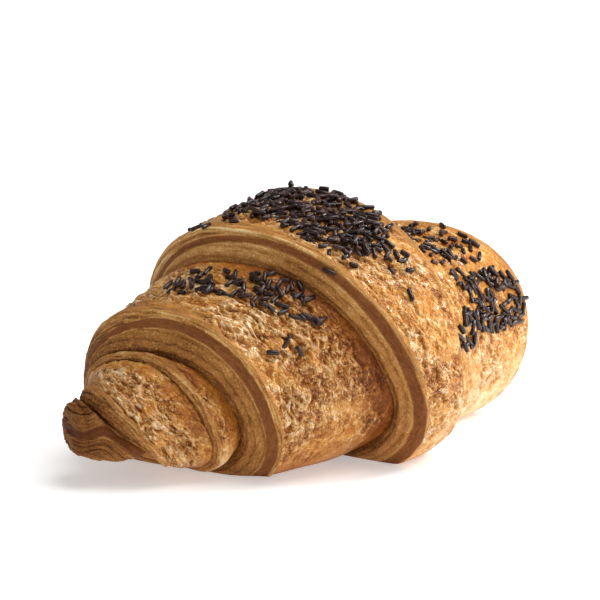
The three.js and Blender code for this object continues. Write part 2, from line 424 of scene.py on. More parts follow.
@dataclass(frozen=True)
class CrustSkin:
    """The blistered skin of the crust, with feature sizes and heights in millimetres.

    Folds and furrows run round the roll, with finer wrinkles on them, all bent by warp.
    They fade by calm in patches of smoother skin, and the skin lies settle lower where it
    wrinkles. What stands out is painted paler and what sinks painted darker, a painted
    highlight on the crests and painted shade in the furrows, by fold_painted_light and
    wrinkle_painted_light for each millimetre, and broad and fine mottles change its brown.
    Where the crust ends over a cut face, its lip shows the edges of thin layers. The lip is
    lip wide, and lip_more wider round lip_turn. sway_* move its border and its layers.
    """

    swell: float = 0.35
    swell_size: float = 9.0
    blister: float = 0.34
    blister_size: float = 3.0
    blister_level: float = 0.15
    blister_toast: float = 0.08
    fold: Wrinkles = Wrinkles(0.60, (2.3, 6.6, 6.6), 0.25, 1.6)
    furrow: Wrinkles = Wrinkles(0.50, (2.6, 7.5, 7.5), 0.20, 2.0)
    wrinkle: Wrinkles = Wrinkles(0.34, (1.1, 2.6, 2.6), 0.38)
    pit: float = 0.08
    pit_size: float = 0.6
    fold_painted_light: float = 0.50
    wrinkle_painted_light: float = 0.60
    broad_mottle: float = 0.10
    broad_size: float = 14.0
    fine_mottle: float = 0.09
    fine_size: float = 4.5
    warp: float = 1.3
    warp_size: float = 3.4
    patch_size: float = 10.0
    patch_low: float = -0.45
    patch_high: float = 0.20
    calm: float = 0.50
    settle: float = 0.30
    lip: float = 0.7
    lip_more: float = 4.2
    lip_turn: float = 100.0
    lip_spread: float = 46.0
    lip_solid: float = 0.35
    lip_layer: Size = (0.5, 7.0, 7.0)
    lip_height: float = 0.28
    lip_blend: float = 0.8
    lip_toast: float = 0.06
    lip_calm: float = 0.7
    lip_raw: float = 0.75
    layer_toast: float = 0.55
    layer_tone: float = 0.40
    sway_lip: float = 0.9
    sway_layers: float = 0.6

    def bake(self, grid: WrapGrid, strength: Array, brown: Array, mottle: float, seed: int) -> Bake:
        """Bakes the crust.

        Args:
            grid: The wrap's grid.
            strength: How wrinkled the crust is at each point, from 0 to 1.
            brown: How brown the crust is at each point, from 0 to 1.
            mottle: How unevenly it has browned, from 0 to 1.
            seed: The wrap's seed.

        Returns:
            The crust's relief and colour masks.
        """
        place = grid.straightened()
        noise = [DoughNoise(seed * SEEDS_PER_WRAP + i) for i in range(CRUST_NOISES)]
        warp = [noise[i](place, self.warp_size) for i in range(3)]
        bent = place + self.warp * np.stack(warp, axis=-1)
        patch = smoothstep(self.patch_low, self.patch_high, noise[3](place, self.patch_size))
        rough = strength * (1.0 - self.calm + self.calm * patch)
        blister = np.maximum(noise[5](bent, self.blister_size), 0.0)
        swell = self.swell * noise[4](place, self.swell_size)
        swell = swell + self.blister * (blister - self.blister_level)
        folds = self.fold.relief(noise[1], bent) - self.furrow.relief(noise[2], bent)
        wrinkles = self.wrinkle.relief(noise[0], bent) + self.pit * noise[6](bent, self.pit_size)
        relief = strength * (swell - self.settle) + rough * (folds + wrinkles)
        broad = self.broad_mottle * noise[5](place, self.broad_size)
        fine = self.fine_mottle * noise[4](place, self.fine_size)
        toast = brown + mottle * (broad + fine)
        # Painted highlight on the crests of folds and wrinkles and painted shade in the furrows: what
        # stands out is drawn paler, what sinks darker.
        crest_light_and_crease_shade = self.fold_painted_light * folds + self.wrinkle_painted_light * wrinkles
        toast += self.blister_toast * blister - rough * crest_light_and_crease_shade
        turn = turn_between(grid.angle, self.lip_turn)
        width = self.lip + self.lip_more * bell(turn, 0.0, self.lip_spread)
        lip = (grid.bare + self.sway_lip * warp[1]) / width
        lip = 1.0 - smoothstep(self.lip_solid, 1.0, lip)
        strata = grid.bare + self.sway_layers * warp[0]
        layer = noise[6](np.stack([strata, place[..., 1], place[..., 2]], axis=-1), self.lip_layer)
        relief += lip * (self.lip_height * layer - self.lip_blend * relief)
        toast += self.lip_blend * lip * (brown + self.lip_toast + self.layer_toast * layer - toast)
        crinkle = np.clip(rough * (1.0 - self.lip_calm * lip), 0.0, 1.0)
        tone = 0.5 + self.layer_tone * layer
        flat = np.zeros_like(toast)
        return Bake(relief, np.clip(toast, 0.0, 1.0), tone, flat, crinkle, self.lip_raw * lip, strata)


@dataclass(frozen=True)
class Blister:
    """A smooth bubble in a crust, with half its length along and round the roll.

    fray is how far its outline departs from an ellipse.
    """

    along: float
    angle: float
    reach: float
    around: float
    height: float = 0.45
    toast: float = 0.04
    fray: float = 0.45

    def inside(self, grid: WrapGrid, ragged: Array) -> Array:
        """How far inside the bubble each point lies: 1 in its middle and 0 outside."""
        across = np.radians(turn_between(grid.angle, self.angle)) * grid.radius / self.around
        lengthwise = (grid.along - self.along) / self.reach
        return np.clip(1.0 - lengthwise**2 - across**2 + self.fray * ragged, 0.0, 1.0)


@dataclass(frozen=True)
class Mark:
    """One kind of mark on a cut face: its size and height in millimetres, and its tone.

    The size is that of a feature across the layers, and along them in two directions.
    """

    size: tuple[float, float, float]
    height: float
    tone: float


@dataclass(frozen=True)
class DoughLayers:
    """The layers that show on a cut face, in millimetres, degrees and tones.

    Ribbons of dough, with soft seams, carry streaks, flecks, pale flakes and cracks. The
    tone is base where nothing marks it, and contrast strengthens every mark. It rises by
    slope from foot to crust, by edge_pale at the crust and by top_painted_light near
    top_turn, a painted light on the face's top, and flaky is how streaked the face is above
    the cocoa layer. At its foot it is foot_painted_shade darker, as painted shade in the
    crease, and hollow deeper. waviness strengthens its waves and ripples, and thinner makes
    the fine lines drawn on it thinner. crack_most is lower where more cracks open.

    band_* place the cocoa layer between foot and crust, or at band_depth below the crust.
    It shows where the face is at least band_least high, narrows by band_pinch round
    pinch_turn, stands band_proud out, and has soft borders with a pale rim.
    """

    ribbon: float = 2.3
    ribbon_height: float = 0.20
    ribbon_tone: float = 0.06
    chance_tone: float = 0.10
    seam: float = 0.22
    seam_tone: float = 0.10
    streak: Mark = Mark((0.34, 7.0, 7.0), 0.04, 0.03)
    fleck: Mark = Mark((0.7, 1.5, 1.5), 0.10, 0.07)
    crack: Mark = Mark((0.51, 11.0, 11.0), 0.13, 0.17)
    flake: Mark = Mark((0.4, 3.4, 3.4), 0.12, 0.08)
    crumb: float = 0.6
    crumb_size: Size = (0.5, 0.9, 0.9)
    crack_most: float = 0.56
    waviness: float = 1.0
    wave: float = 0.50
    wave_size: float = 11.0
    ripple: float = 0.28
    ripple_size: float = 3.4
    reach: float = 26.0
    lengthwise: float = 0.3
    thinner: float = 1.0
    contrast: float = 1.0
    base: float = 0.49
    slope: float = 0.14
    cloud: float = 0.07
    cloud_size: float = 9.0
    edge_pale: float = 0.10
    top_painted_light: float = 0.0
    top_turn: float = 100.0
    top_spread: float = 34.0
    flaky: float = 0.34
    foot_painted_shade: float = 0.26
    hollow: float = 0.5
    banded: bool = True
    band_width: float = 2.1
    band_proud: float = 0.20
    band_top: float = 0.80
    band_drop: float = 0.50
    band_turn: float = 150.0
    band_spread: float = 48.0
    band_least: float = 3.5
    band_pinch: float = 0.35
    band_depth: float | None = None
    band_soft: float = 0.14
    pinch_turn: float = 120.0
    pinch_spread: float = 50.0
    rim: float = 0.75
    rim_place: float = 0.22
    rim_width: float = 0.13
    rim_height: float = 0.12
    rim_tone: float = 0.84

    def band_share(self, angle: Array) -> Array:
        """Where the cocoa layer lies, from 0 at the face's foot to 1 at its crust."""
        turn = turn_between(angle, self.band_turn)
        return self.band_top - self.band_drop * bell(turn, 0.0, self.band_spread)

    def _around(self, grid: WrapGrid) -> Array:
        """The places that the patterns of a face are laid out on."""
        reach = self.reach if self.band_depth is None else grid.radius
        across, up = reach * np.cos(grid.angle), reach * np.sin(grid.angle)
        return np.stack([self.lengthwise * grid.along, across, up], axis=-1)

    def _cocoa(self, grid: WrapGrid, around: Array, noise: Sequence[DoughNoise]) -> tuple[Array, Array]:
        """Lays the cocoa layer into a cut face.

        Args:
            grid: The wrap's grid.
            around: The places that the face's patterns are laid out on.
            noise: The face's noises.

        Returns:
            How far each point is in the cocoa layer and on its pale rim, from 0 to 1.
        """
        if not self.banded:
            return np.zeros_like(grid.share), np.zeros_like(grid.share)
        if self.band_depth is None:
            turn = turn_between(grid.angle, self.pinch_turn)
            width = self.band_width * (1.0 - self.band_pinch * bell(turn, 0.0, self.pinch_spread))
            off = np.abs(grid.share - self.band_share(grid.angle)) * grid.drop - width / 2.0
            wide = smoothstep(self.band_least, self.band_least + 2.0, grid.drop)
        else:
            off = np.abs(grid.depth - self.band_depth) - self.band_width / 2.0
            wide = np.ones_like(grid.share)
        off = off + 0.16 * noise[1](around, 4.0)
        band = wide * (1.0 - smoothstep(-self.band_soft, self.band_soft, off))
        broken = smoothstep(-0.3, 0.3, noise[4](around, 4.0))
        return band, self.rim * wide * bell(off, self.rim_place, self.rim_width) * broken

    def bake(self, grid: WrapGrid, seed: int) -> Bake:
        """Bakes a cut face.

        Args:
            grid: The wrap's grid.
            seed: The wrap's seed.

        Returns:
            The face's relief and colour masks.
        """
        share = grid.share
        around = self._around(grid)
        noise = [DoughNoise(seed * SEEDS_PER_WRAP + CRUST_NOISES + i) for i in range(FACE_NOISES)]
        waves = self.wave * noise[0](around, self.wave_size)
        waves = waves + self.ripple * noise[1](around, self.ripple_size)
        depth = grid.depth + self.waviness * waves
        level = depth / self.ribbon + 0.35
        inside = level - np.floor(level)
        chance = ribbon_chance(np.floor(level), seed)
        crowned = 1.0 - (2.0 * inside - 1.0) ** 2
        seam = 1.0 - smoothstep(0.0, self.seam, np.minimum(inside, 1.0 - inside))
        spread = np.stack([depth, around[..., 1], around[..., 2]], axis=-1)
        streak = noise[2](spread, self.streak.size)
        fleck = noise[5](spread, self.fleck.size) + self.crumb * noise[4](spread, self.crumb_size)
        crack = noise[3](spread, self.crack.size)
        crack = smoothstep(self.crack_most, self.crack_most + 0.25, crack)
        flake = smoothstep(0.25, 0.55, noise[4](spread, self.flake.size))
        relief = self.ribbon_height * (crowned - 0.5) * (0.5 + 0.8 * chance)
        relief += self.streak.height * streak + self.fleck.height * fleck
        relief += self.flake.height * flake - self.crack.height * crack
        tone = self.streak.tone * streak + self.fleck.tone * fleck
        tone = tone + self.ribbon_tone * (crowned - 0.6) + self.chance_tone * (chance - 0.5)
        marks = self.flake.tone * flake - self.crack.tone * crack
        tone += marks - self.seam_tone * seam * (0.3 + chance)
        tone = self.base + self.contrast * tone + self.slope * (share - 0.5)
        tone += self.cloud * noise[0](around, self.cloud_size)
        tone += self.edge_pale * smoothstep(0.80, 1.0, share)
        # Painted light: the top of the face is drawn paler round one angle.
        top = turn_between(grid.angle, self.top_turn)
        tone += self.top_painted_light * bell(top, 0.0, self.top_spread)
        flaky = self.flaky * smoothstep(0.0, 0.14, share - self.band_share(grid.angle))
        tone += flaky * (streak - 0.1)
        relief += 0.5 * flaky * streak
        band, rim = self._cocoa(grid, around, noise)
        relief = relief * (1.0 - band) + band * (self.band_proud + 0.10 * streak + 0.05 * fleck)
        relief += self.rim_height * rim
        tone = tone * (1.0 - rim) + self.rim_tone * rim
        tone += band * (0.5 + 0.12 * streak + 0.10 * fleck - tone)
        # Painted shade in the crease at the face's foot, which also sinks by hollow.
        foot = 1.0 - smoothstep(0.02, 0.28, share)
        relief -= self.hollow * foot
        tone -= self.foot_painted_shade * foot
        flat = np.zeros_like(share)
        tone = np.clip(tone, 0.0, 1.0)
        return Bake(relief, flat, tone, band, flat, flat + 1.0, self.thinner * depth)


# ---- Wraps ---------------------------------------------------------------------------

FAR = 99.0  # Stands for no crust edge or neighbour at all.
CAP_SHARES = (0.0, 0.3, 0.6, 0.85, 1.0)


class EndKind(Enum):
    """How a wrap ends."""

    CUT = "a cut face shows its layers"
    TUCKED = "runs on under its neighbour"
    TIP = "a rolled tip"


def outward(points: Array) -> Array:
    """The outward unit normals of a closed grid of points."""
    lengthwise = np.gradient(points, axis=0)
    around = np.roll(points, -1, axis=1) - np.roll(points, 1, axis=1)
    normal = np.cross(lengthwise, around)
    normal[0] = normal[1].mean(axis=0)
    normal[-1] = normal[-2].mean(axis=0)
    size = np.linalg.norm(normal, axis=-1, keepdims=True)
    return normal / np.maximum(size, 1e-9)


@dataclass(frozen=True)
class Oven:
    """How baking changed every wrap, in millimetres, degrees and shares of brown.

    Relief grows from tray_low to tray_high above the tray, and wrinkles grow on from
    calm_low to calm_high. Beside a covering wrap the crust wrinkles less up to open_far
    away, and is darker up to shade_far away, most round shade_turn, as painted shade in the
    cove that is partly browning. Its underside is darker, and its bare edges stand up and
    are paler, a painted highlight where the edge catches light. A blister is smoother than
    the crust round it, with a paler rim.
    """

    tray_low: float = 0.6
    tray_high: float = 5.0
    pale_low: float = 3.0
    calm_low: float = 3.0
    calm_high: float = 16.0
    calm_least: float = 0.70
    calm_more: float = 0.30
    open_near: float = 0.5
    open_far: float = 5.0
    covered: float = 0.35
    shade_far: float = 9.0
    shade_turn: float = 15.0
    shade_spread: float = 50.0
    shade_least: float = 0.40
    under_brown: float = 0.16
    edge_pale: float = 0.20
    edge_lift: float = 0.22
    blister_smooth: float = 0.45
    blister_rim: float = 0.16
    ragged_size: float = 1.7
    frayed_size: float = 4.0
    char_near: float = 2.0
    char_far: float = 16.0


OVEN = Oven()


@dataclass
class DoughWrap:
    """One wrap of the roll: a closed drum of crust with its two ends.

    start and stop are the ends that bound it. For a tucked end that is the cut face of
    the neighbour that covers it. brown is how dark its crust is, mottle how unevenly it
    has browned, and wrinkled how blistered it is. pale is how much paler it is below
    pale_height; below zero it paints the lower side darker, as painted shade.
    cove_shade_and_browning is how much darker it is beside a wrap that covers it, partly
    painted shade and partly browning. undercut draws its lower edge in, by so many
    millimetres. A wrap with a tip is bare layered dough, whose layers start raw_depth
    below the crust that ends over it. sunk_* hide its inner ends, and tip_* round its tip
    off.
    """

    name: str
    start: End | None
    start_kind: EndKind
    stop: End | None
    stop_kind: EndKind
    seed: int
    columns: int = 400
    crust_rows: int = 90
    face_rows: int = 44
    brown: float = 0.5
    wrinkled: float = 1.0
    pale: float = 0.12
    pale_height: float = 24.0
    mottle: float = 1.0
    cove_shade_and_browning: float = 0.30
    undercut: float = 0.0
    undercut_turn: float = 318.0
    undercut_spread: float = 30.0
    raw_depth: float = 5.0
    bulge: float = 0.6
    lump: float = 0.35
    tuck: float = 3.0
    sunk_tuck: float = 0.5
    sunk_face: float = 2.0
    sunk_back: float = 1.6
    face_curve: float = 1.5
    tip_out: float = 0.7
    tip_back: float = 1.1
    tip_round: float = 1.5
    tip_middle: float = 3.9
    weld: float = 0.0005
    blisters: tuple[Blister, ...] = ()
    layers: DoughLayers = field(default_factory=DoughLayers)
    skin: CrustSkin = field(default_factory=CrustSkin)
    grid: WrapGrid | None = None
    points: Array | None = None
    normals: Array | None = None

    def _cap(self, place: Array, radius: Array) -> list[tuple[Array, Array]]:
        """Rows of place and radius from the axis out to a hidden end."""
        middle = place.mean()
        return [(middle + (place - middle) * share, radius * share) for share in CAP_SHARES]

    def _tip_rows(self, side: int, flat: Array) -> list:
        """The rows of a rolled tip, from the axis outwards, as _end_rows gives them."""
        tip = side * (self.tip_out + ROLL.arm(side))
        shares = np.linspace(0.0, 1.0, self.face_rows)
        round_off = side * self.tip_round * (1.0 - np.sqrt(1.0 - 0.9 * shares**6))
        return [
            (flat + tip - back, flat + ROLL.tip_radius * share, flat + 1.0, flat + share)
            for share, back in zip(shares, round_off)
        ]

    def _end_rows(self, end: End | None, kind: EndKind, side: int, lines: dict, flat: Array) -> list:
        """The rows of one end, from the axis outwards.

        Args:
            end: The end, or None for a tip.
            kind: How the wrap ends there.
            side: -1 for the left end and 1 for the right one.
            lines: Every end's line round the roll.
            flat: A row of zeros.

        Returns:
            Rows of place, radius, cut and share.
        """
        if kind is EndKind.TIP:
            return self._tip_rows(side, flat)
        line = lines[end]
        if kind is EndKind.TUCKED:
            rows = self._cap(line.foot_place + side * self.tuck, line.foot - self.sunk_tuck)
            return [(place, radius, flat, flat) for place, radius in rows]
        rows = self._cap(line.foot_place - side * self.sunk_back, line.foot - self.sunk_face)
        faces = [(place, radius, flat + 1.0, flat) for place, radius in rows]
        for share in np.linspace(0.0, 1.0, self.face_rows):
            place = line.edge + (line.foot_place - line.edge) * (1.0 - share**self.face_curve)
            radius = line.foot + (line.crust - line.foot) * share
            faces.append((place, radius, flat + 1.0, flat + share))
        return faces

    def _limit(self, end: End | None, kind: EndKind, side: int, lines: dict, flat: Array) -> tuple:
        """The place and radius where the crust meets one end."""
        if kind is EndKind.TIP:
            return flat + side * (ROLL.arm(side) - self.tip_back), flat + ROLL.tip_radius
        line = lines[end]
        if kind is EndKind.CUT:
            return line.edge, line.crust
        return line.foot_place, line.foot

    def _tip_depth(self, grid: WrapGrid, side: int, cover: EdgeLine) -> Array:
        """How deep each point of a bare tip lies in the dough's layers.

        Args:
            grid: The wrap's grid.
            side: -1 for the left tip and 1 for the right one.
            cover: The line of the end that covers the wrap's other side.

        Returns:
            The depth below the crust that ends over the tip, in millimetres.
        """
        below = ROLL.tip_radius - grid.radius * np.sin(grid.angle) - self.tip_middle
        under = 0.7 * np.abs(grid.along - cover.foot_place)
        inward = smoothstep(0.5, 6.5, ROLL.arm(side) - np.abs(grid.along))
        return self.raw_depth + 0.9 * below * (1.0 - inward) + under * inward

    def lay_out(self) -> WrapGrid:
        """Lays the wrap's grid out on the roll, without relief."""
        angle = np.arange(self.columns) * (2.0 * math.pi / self.columns)
        flat = np.zeros_like(angle)
        lines = ROLL.edge_lines(angle)
        start = self._limit(self.start, self.start_kind, -1, lines, flat)
        stop = self._limit(self.stop, self.stop_kind, 1, lines, flat)
        left = self._end_rows(self.start, self.start_kind, -1, lines, flat)
        right = self._end_rows(self.stop, self.stop_kind, 1, lines, flat)
        crust = []
        for t in np.linspace(0.0, 1.0, self.crust_rows + 2)[1:-1]:
            along = start[0] + (stop[0] - start[0]) * t
            swell = 4.0 * t * (1.0 - t) * (self.bulge + self.lump * slow_lumps(along, angle))
            radius = start[1] + (stop[1] - start[1]) * t + swell
            crust.append((along, radius, flat, flat + 1.0))
        along, radius, cut, share = (np.array(part) for part in zip(*left, *crust, *right[::-1]))
        drop = np.ones_like(along)
        bare = np.full_like(along, FAR)
        tucked = bare.copy()
        ends = (
            (self.start, self.start_kind, start, slice(0, len(left))),
            (self.stop, self.stop_kind, stop, slice(len(left) + len(crust), None)),
        )
        for end, kind, limit, rows in ends:
            distance = np.abs(along - limit[0])
            if kind is EndKind.TUCKED:
                tucked = np.minimum(tucked, distance)
            else:
                bare = np.minimum(bare, distance)
            if kind is EndKind.CUT:
                drop[rows] = lines[end].crust - lines[end].foot
        depth = (1.0 - share) * drop
        angles = np.broadcast_to(angle, along.shape)
        across = along - start[0]
        grid = WrapGrid(along, across, radius, angles, cut, share, depth, drop, bare, tucked)
        for cover, kind, side in ((self.stop, self.start_kind, -1), (self.start, self.stop_kind, 1)):
            if kind is EndKind.TIP:
                grid.depth = self._tip_depth(grid, side, lines[cover])
                grid.cut = np.ones_like(along)
                grid.share = np.full_like(along, 0.5)
        self.grid = grid
        return grid

    def _bake_crust(self, grid: WrapGrid, height: Array, lifted: Array) -> Bake:
        """Bakes the wrap's crust.

        Args:
            grid: The wrap's grid.
            height: How high each point lies above the tray.
            lifted: How far each point is clear of the tray, from 0 to 1.

        Returns:
            The crust's relief and colour masks.
        """
        ragged = DoughNoise(self.seed * SEEDS_PER_WRAP + RAGGED_SEED)
        ragged = ragged(grid.straightened(), OVEN.ragged_size)
        bubbles = [(blister, blister.inside(grid, ragged)) for blister in self.blisters]
        frayed = self._frayed(grid)
        smooth = sum((smoothstep(0.0, 0.25, inside) for _, inside in bubbles), np.zeros_like(height))
        open_air = smoothstep(OVEN.open_near, OVEN.open_far, grid.tucked)
        strength = self.wrinkled * lifted * (OVEN.covered + (1.0 - OVEN.covered) * open_air)
        calm = OVEN.calm_least + OVEN.calm_more * smoothstep(OVEN.calm_low, OVEN.calm_high, height)
        strength = strength * calm * (1.0 - OVEN.blister_smooth * smooth)
        # Painted shade in the cove beside a covering wrap, strongest round one angle and partly real
        # browning; it is added to the crust's brown a few lines below.
        shade = 1.0 - smoothstep(OVEN.open_near, OVEN.shade_far, grid.tucked)
        front = bell(turn_between(grid.angle, OVEN.shade_turn), 0.0, OVEN.shade_spread)
        shade *= OVEN.shade_least + (1.0 - OVEN.shade_least) * front
        # Paler low down; where pale is below zero the lower side is drawn darker instead, as painted
        # shade.
        low = 1.0 - smoothstep(OVEN.pale_low, self.pale_height, height)
        under = 1.0 - smoothstep(0.3, 2.5, height)
        brown = self.brown - self.pale * low + OVEN.under_brown * under
        # The bare crust edge is drawn paler, a painted highlight where the edge catches light; the last
        # term adds the cove's painted shade.
        brown = brown - OVEN.edge_pale * bell(grid.bare, 0.0, 0.4) * frayed + self.cove_shade_and_browning * shade
        for blister, inside in bubbles:
            brown += blister.toast * smoothstep(0.0, 0.25, inside)
            rim = OVEN.blister_rim * smoothstep(0.0, 0.08, inside)
            brown -= rim * (1.0 - smoothstep(0.10, 0.30, inside))
        crust = self.skin.bake(grid, strength, brown, self.mottle, self.seed)
        for blister, inside in bubbles:
            crust.relief += blister.height * np.sqrt(inside)
        crust.relief *= 0.35 + 0.65 * smoothstep(0.0, 1.2, grid.bare)
        crust.relief += OVEN.edge_lift * bell(grid.bare, 0.0, 0.5) * lifted * frayed
        return crust

    def bake(self) -> Bake:
        """Works out the wrap's relief and colours and stands its points out by them."""
        grid = self.grid or self.lay_out()
        plain = grid.plain_points()
        height = plain[..., 2]
        lifted = smoothstep(OVEN.tray_low, OVEN.tray_high, height)
        crust = self._bake_crust(grid, height, lifted)
        face = self.layers.bake(grid, self.seed)
        face.relief *= smoothstep(0.0, 0.08, 1.0 - grid.share) * lifted
        bake = Bake(
            crust.relief * (1.0 - grid.cut) + face.relief * grid.cut,
            crust.toast,
            crust.tone * (1.0 - grid.cut) + face.tone * grid.cut,
            face.band * grid.cut,
            crust.crinkle * (1.0 - grid.cut),
            np.maximum(crust.raw, grid.cut),
            crust.strata * (1.0 - grid.cut) + face.strata * grid.cut,
        )
        bake.relief[(grid.cut > 0.5) & (grid.share <= 0.0)] = 0.0
        lower = bell(turn_between(grid.angle, self.undercut_turn), 0.0, self.undercut_spread)
        bake.relief -= self.undercut * lower * smoothstep(0.3, 1.0, grid.share)
        bake.relief[[0, -1]] = bake.relief[[1, -2]].mean(axis=1, keepdims=True)
        self.normals = outward(plain)
        self.points = plain + self.normals * bake.relief[..., None]
        self.points[..., 2] = np.maximum(self.points[..., 2], 0.0)
        return bake

    def _frayed(self, grid: WrapGrid) -> Array:
        """How far the crust's edge stands up along its length, from 0 to 1."""
        noise = DoughNoise(self.seed * SEEDS_PER_WRAP + EDGE_SEED)
        return np.clip(0.5 + 1.3 * noise(grid.straightened(), OVEN.frayed_size), 0.0, 1.0)

    def _char(self) -> Array:
        """How scorched each point is, from 0 to 1: most on the bare layers at the tips."""
        tip = np.minimum(self.grid.along + ROLL.left_arm, ROLL.right_arm - self.grid.along)
        near = 1.0 - smoothstep(OVEN.char_near, OVEN.char_far, tip)
        return near * (0.35 + 0.5 * self.grid.cut)

    def _paint(self, mesh: bpy.types.Mesh, bake: Bake, row: Array, column: Array) -> None:
        """Writes the bake's masks and the straightened places onto the mesh.

        Args:
            mesh: The wrap's mesh, before its doubles are merged.
            bake: What the oven did to each point of the grid.
            row: The grid's row of each vertex.
            column: The grid's column of each vertex.
        """
        masks = {
            "raw": bake.raw,
            "strata": bake.strata,
            "toast": bake.toast,
            "tone": bake.tone,
            "band": bake.band,
            "crinkle": bake.crinkle,
            "char": self._char(),
        }
        for name, values in masks.items():
            layer = mesh.attributes.new(name, "FLOAT", "POINT")
            layer.data.foreach_set("value", values[row, column].astype(np.float32))
        straight = self.grid.straightened()[row, column]
        layer = mesh.attributes.new("straight", "FLOAT_VECTOR", "POINT")
        layer.data.foreach_set("vector", straight.astype(np.float32).ravel())

    def build(self, shift: Array, material: bpy.types.Material) -> bpy.types.Object:
        """Makes the wrap's object.

        Args:
            shift: The move from the roll's frame to the solid's, in millimetres.
            material: The finish of the dough.

        Returns:
            The finished piece.
        """
        bake = self.bake()
        rows, columns = self.grid.along.shape
        shape = bmesh.new()
        bmesh.ops.create_grid(shape, x_segments=columns, y_segments=rows - 1, size=0.5)
        mesh = bpy.data.meshes.new(self.name)
        shape.to_mesh(mesh)
        square = np.empty(len(mesh.vertices) * 3)
        mesh.vertices.foreach_get("co", square)
        square = square.reshape(-1, 3) + 0.5
        column = np.rint(square[:, 0] * columns).astype(int) % columns
        row = np.rint(square[:, 1] * (rows - 1)).astype(int)
        points = (self.points[row, column] + shift) * MILLIMETRE
        mesh.vertices.foreach_set("co", points.ravel())
        self._paint(mesh, bake, row, column)
        shape.clear()
        shape.from_mesh(mesh)
        bmesh.ops.remove_doubles(shape, verts=shape.verts, dist=self.weld * MILLIMETRE)
        bmesh.ops.recalc_face_normals(shape, faces=shape.faces)
        shape.to_mesh(mesh)
        shape.free()
        return dress_piece(mesh, material)


def dress_piece(mesh: bpy.types.Mesh, material: bpy.types.Material) -> bpy.types.Object:
    """Makes a mesh a smooth piece on the croissant's body, in place of its solid.

    Args:
        mesh: The finished mesh, which gives the piece its name.
        material: Its finish.

    Returns:
        The finished piece.
    """
    mesh.polygons.foreach_set("use_smooth", np.ones(len(mesh.polygons), bool))
    mesh.materials.append(material)
    mesh.update()
    piece = bpy.data.objects.new(mesh.name, mesh)
    bpy.context.scene.collection.objects.link(piece)
    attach(piece, BODY)
    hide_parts(NODE)
    return piece


# ---- Finishes ------------------------------------------------------------------------


def srgb(red: float, green: float, blue: float) -> Colour:
    """A colour given from 0 to 255 as the eye reads it, for a shader."""

    def linear(value: float) -> float:
        """One channel in linear light."""
        share = value / 255.0
        return share / 12.92 if share <= 0.04045 else ((share + 0.055) / 1.055) ** 2.4

    return linear(red), linear(green), linear(blue)


class Socket:
    """A shader value that takes part in plain arithmetic by adding Math nodes."""

    def __init__(self, sheet: "MaterialSheet", socket: bpy.types.NodeSocket) -> None:
        """Wraps an output socket of the sheet's nodes."""
        self.sheet = sheet
        self.socket = socket

    def _math(self, operation: str, first: object, second: object) -> "Socket":
        """One Math node."""
        node = self.sheet.node("ShaderNodeMath", {"operation": operation}, {0: first, 1: second})
        return Socket(self.sheet, node.outputs[0])

    def __add__(self, other: object) -> "Socket":
        """Adds."""
        return self._math("ADD", self, other)

    __radd__ = __add__

    def __mul__(self, other: object) -> "Socket":
        """Multiplies."""
        return self._math("MULTIPLY", self, other)

    __rmul__ = __mul__

    def __sub__(self, other: object) -> "Socket":
        """Takes the other away."""
        return self._math("SUBTRACT", self, other)

    def __rsub__(self, other: object) -> "Socket":
        """Takes this away from the other."""
        return self._math("SUBTRACT", other, self)

    def clamped(self) -> "Socket":
        """The value held between 0 and 1."""
        settings = {"operation": "ADD", "use_clamp": True}
        node = self.sheet.node("ShaderNodeMath", settings, {0: self, 1: 0.0})
        return Socket(self.sheet, node.outputs[0])

    def ridge(self, sharpness: float) -> "Socket":
        """Crests of height 1 where even noise crosses its middle."""
        node = self.sheet.node("ShaderNodeMath", {"operation": "ABSOLUTE"}, {0: self - 0.5})
        return (1.0 - sharpness * Socket(self.sheet, node.outputs[0])).clamped()

    def step(self, low: float, high: float) -> "Socket":
        """A soft step from 0 at low to 1 at high."""
        settings = {"interpolation_type": "SMOOTHSTEP"}
        inputs = {"Value": self, "From Min": low, "From Max": high}
        node = self.sheet.node("ShaderNodeMapRange", settings, inputs)
        return Socket(self.sheet, node.outputs["Result"])


@dataclass(frozen=True)
class Grain:
    """One noise of a finish: its features for each unit of length, its detail and bend."""

    scale: float
    detail: float = 2.0
    bend: float = 0.0


